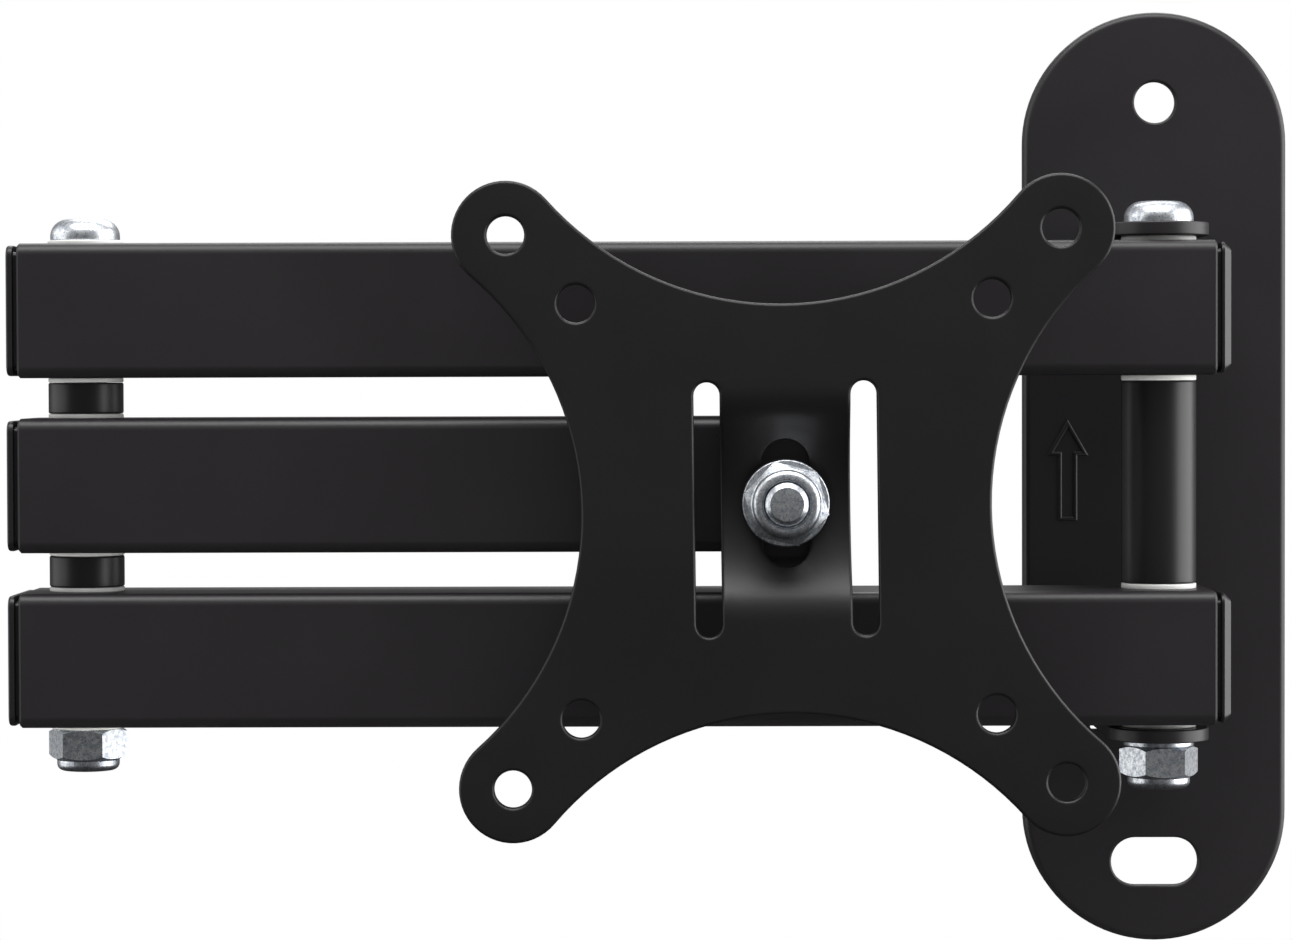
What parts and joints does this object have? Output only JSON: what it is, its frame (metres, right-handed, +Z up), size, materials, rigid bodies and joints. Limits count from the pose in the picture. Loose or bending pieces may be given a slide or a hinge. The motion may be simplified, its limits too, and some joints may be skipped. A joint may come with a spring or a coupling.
{
  "type": "full motion tv wall mount",
  "caption": "Folding wall mount for a small flat screen: pan-shaped wall plate, folding square-tube arms and a tilting, swivelling waisted screen plate.",
  "frame": {"origin": "on the face that lies on the wall, in line with the wall pivot and half way up the wall plate", "axes": "+X along the wall to the right, +Y into the wall, +Z up; the screen side faces -Y and the folded arms run towards -X"},
  "size_m": [0.243, 0.0674, 0.181],
  "materials": {
    "black_powder_coat": "satin black powder coat on steel, very fine texture",
    "black_plastic": "moulded black plastic, slightly glossy",
    "white_nylon": "natural white nylon, smooth",
    "zinc_steel": "bright zinc plated steel"
  },
  "bodies": {
    "wall_bracket": {"wall_plate": "black_powder_coat", "pivot_bracket": "black_powder_coat", "wall_pivot_bolt": "zinc_steel", "wall_pivot_sleeve": "black_plastic", "wall_pivot_washer": "zinc_steel", "wall_pivot_nut": "zinc_steel"},
    "outer_arms": {"upper_arm_tube": "black_powder_coat", "upper_arm_elbow_cap": "black_plastic", "upper_arm_wall_cap": "black_plastic", "upper_arm_wall_top_bush": "white_nylon", "upper_arm_wall_bottom_bush": "white_nylon", "upper_arm_elbow_top_bush": "white_nylon", "upper_arm_elbow_bottom_bush": "white_nylon", "lower_arm_tube": "black_powder_coat", "lower_arm_elbow_cap": "black_plastic", "lower_arm_wall_cap": "black_plastic", "lower_arm_wall_top_bush": "white_nylon", "lower_arm_wall_bottom_bush": "white_nylon", "lower_arm_elbow_top_bush": "white_nylon", "lower_arm_elbow_bottom_bush": "white_nylon", "elbow_bolt": "zinc_steel", "elbow_nut": "zinc_steel"},
    "inner_arm": {"inner_arm_tube": "black_powder_coat", "inner_arm_elbow_cap": "black_plastic", "inner_arm_head_cap": "black_plastic", "inner_arm_elbow_top_bush": "white_nylon", "inner_arm_elbow_bottom_bush": "white_nylon", "inner_arm_head_top_bush": "white_nylon", "inner_arm_head_bottom_bush": "white_nylon", "elbow_upper_sleeve": "black_plastic", "elbow_lower_sleeve": "black_plastic"},
    "head": {"head_clevis": "black_powder_coat", "head_pivot_bolt": "zinc_steel", "head_pivot_nut": "zinc_steel"},
    "saddles": {"tilt_bolt": "zinc_steel", "tilt_washer": "zinc_steel", "tilt_nut": "zinc_steel", "tilt_rear_saddle": "black_plastic", "tilt_front_saddle": "black_plastic"},
    "screen_plate": {"vesa_plate": "black_powder_coat"}
  },
  "joints": [
    {"name": "wall_swivel", "type": "hinge", "parent": "wall_bracket", "child": "outer_arms", "pos_m": [0, -0.032, 0], "axis": [0, 0, 1], "range_deg": [0, 130]},
    {"name": "elbow_fold", "type": "hinge", "parent": "outer_arms", "child": "inner_arm", "pos_m": [-0.2016, -0.032, 0], "axis": [0, 0, 1], "range_deg": [-180, 0]},
    {"name": "head_swivel", "type": "hinge", "parent": "inner_arm", "child": "head", "pos_m": [-0.0708, -0.032, 0], "axis": [0, 0, 1], "range_deg": [0, 90]},
    {"name": "screen_level", "type": "hinge", "parent": "head", "child": "saddles", "pos_m": [-0.0708, -0.0555, -0.003], "axis": [0, -1, 0], "range_deg": [-3.6, 2.4]},
    {"name": "screen_tilt", "type": "hinge", "parent": "saddles", "child": "screen_plate", "pos_m": [-0.0708, -0.0841, -0.003], "axis": [0.9999, 0, 0.0105], "range_deg": [-15, 15]}
  ],
  "couplings": [
    {"joint": "head_swivel", "follows": "elbow_fold", "ratio": -0.5}
  ]
}
